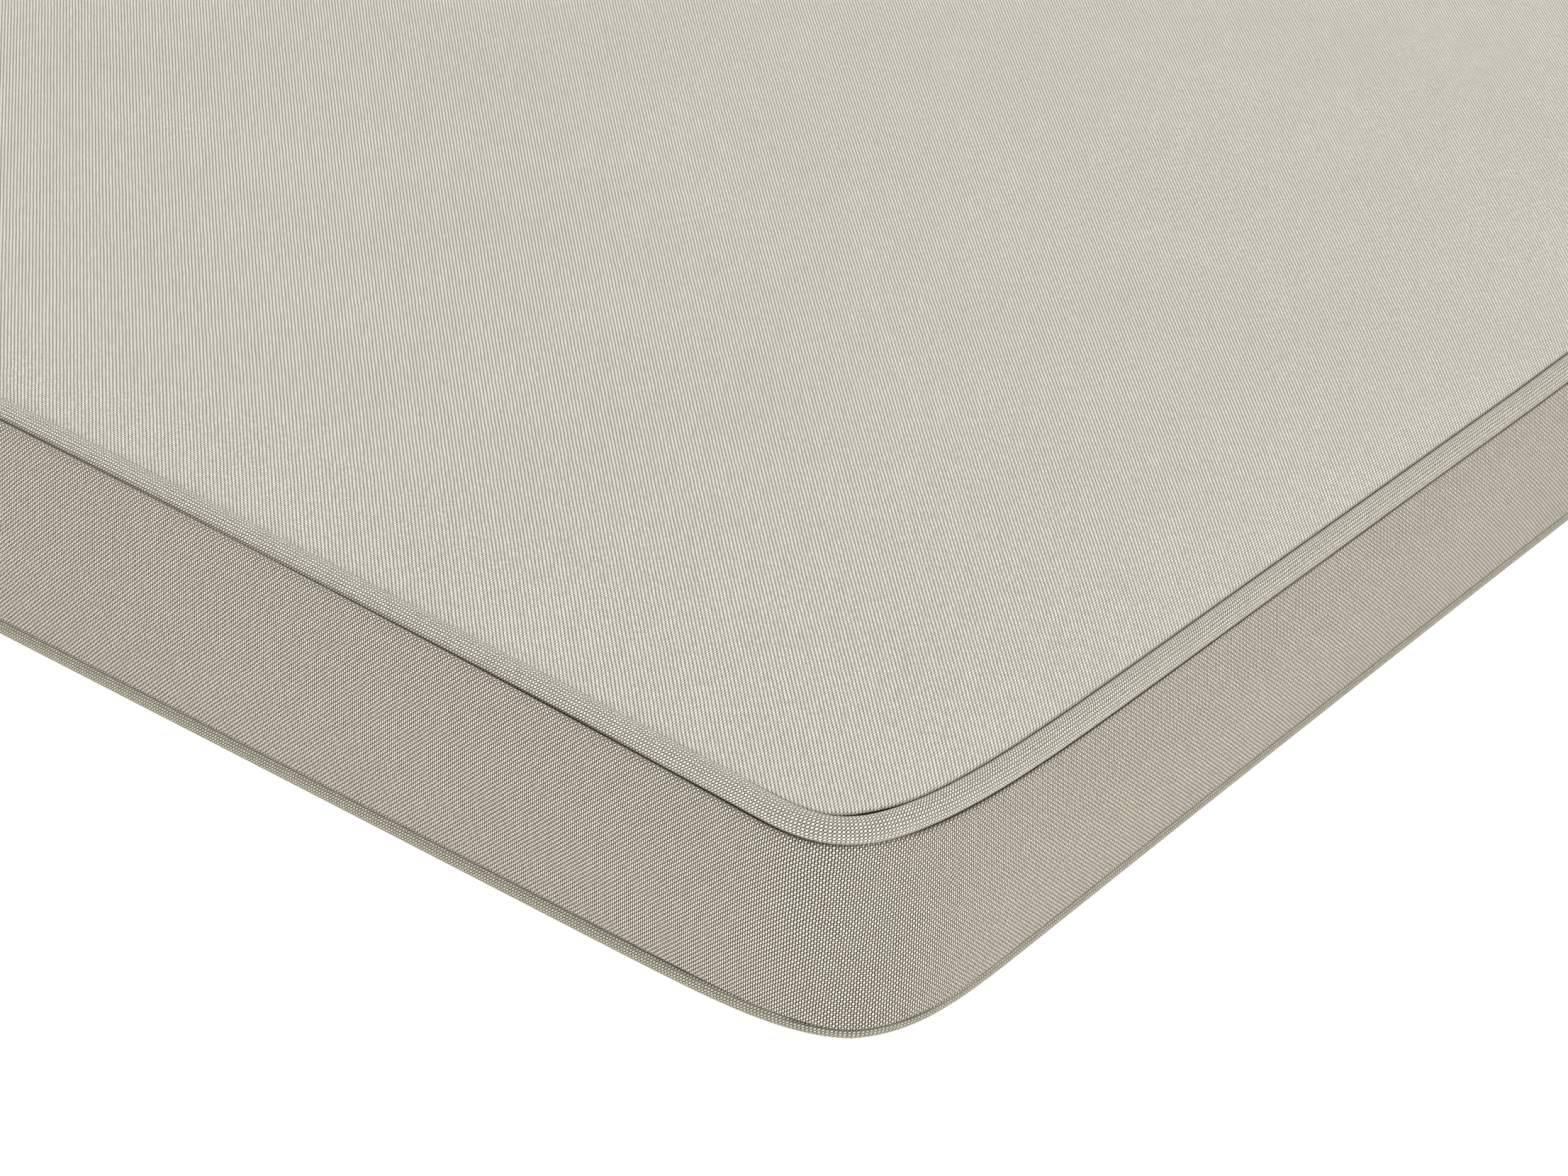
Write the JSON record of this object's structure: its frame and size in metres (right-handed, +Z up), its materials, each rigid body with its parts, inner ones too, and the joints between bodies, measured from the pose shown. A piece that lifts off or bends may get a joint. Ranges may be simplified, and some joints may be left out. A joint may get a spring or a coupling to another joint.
{
  "type": "bench cushion",
  "caption": "Long boxed bench cushion with rounded corners, crowned top panel, side band and self-covered piping in its seams.",
  "frame": {"origin": "middle of the underside, on the surface that the cushion lies on", "axes": "+X along the long sides, +Y along the short sides, +Z up through the crowned top panel"},
  "size_m": [1.2086, 0.5088, 0.0648],
  "materials": {
    "panel_cloth": "matte plain weave",
    "side_band_cloth": "matte plain weave",
    "piping_cloth": "matte plain weave"
  },
  "bodies": {
    "root": {"cushion_body": "side_band_cloth", "top_panel": "panel_cloth", "bottom_panel": "panel_cloth", "top_piping": "piping_cloth", "bottom_piping": "piping_cloth"}
  },
  "joints": []
}
